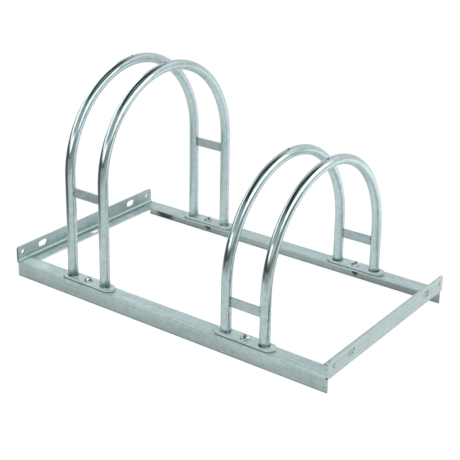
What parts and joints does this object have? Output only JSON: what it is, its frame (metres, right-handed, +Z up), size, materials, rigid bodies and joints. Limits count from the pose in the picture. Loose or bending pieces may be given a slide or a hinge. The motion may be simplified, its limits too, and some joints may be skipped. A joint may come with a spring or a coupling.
{
  "type": "two tier bike rack",
  "caption": "Galvanised floor rack that parks one bicycle high and one low between pairs of bent tube hoops on an angle steel ground frame.",
  "frame": {"origin": "on the ground under the middle of the frame", "axes": "+X along the long rails from the tall bay to the low bay, +Y from the front rail to the rear rail, +Z up"},
  "size_m": [0.706, 0.4, 0.424],
  "materials": {
    "galvanised_angle": "hot-dip galvanised, matt with spangle",
    "galvanised_tube": "hot-dip galvanised, smooth and slightly glossy",
    "galvanised_flat": "hot-dip galvanised, satin",
    "zinc_fastener": "zinc plated, bright"
  },
  "bodies": {
    "root": {"rail_front": "galvanised_angle", "rail_rear": "galvanised_angle", "side_rail_left": "galvanised_angle", "side_rail_right": "galvanised_angle", "hoop_tall_left": "galvanised_tube", "hoop_tall_right": "galvanised_tube", "plate_tall_front": "galvanised_flat", "bar_tall_front": "galvanised_flat", "bolt_tall_front": "zinc_fastener", "washer_tall_front": "zinc_fastener", "nut_tall_front": "zinc_fastener", "plate_tall_rear": "galvanised_flat", "bar_tall_rear": "galvanised_flat", "bolt_tall_rear": "zinc_fastener", "washer_tall_rear": "zinc_fastener", "nut_tall_rear": "zinc_fastener", "hoop_low_left": "galvanised_tube", "hoop_low_right": "galvanised_tube", "plate_low_front": "galvanised_flat", "bar_low_front": "galvanised_flat", "bolt_low_front": "zinc_fastener", "washer_low_front": "zinc_fastener", "nut_low_front": "zinc_fastener", "plate_low_rear": "galvanised_flat", "bar_low_rear": "galvanised_flat", "bolt_low_rear": "zinc_fastener", "washer_low_rear": "zinc_fastener", "nut_low_rear": "zinc_fastener"}
  },
  "joints": []
}
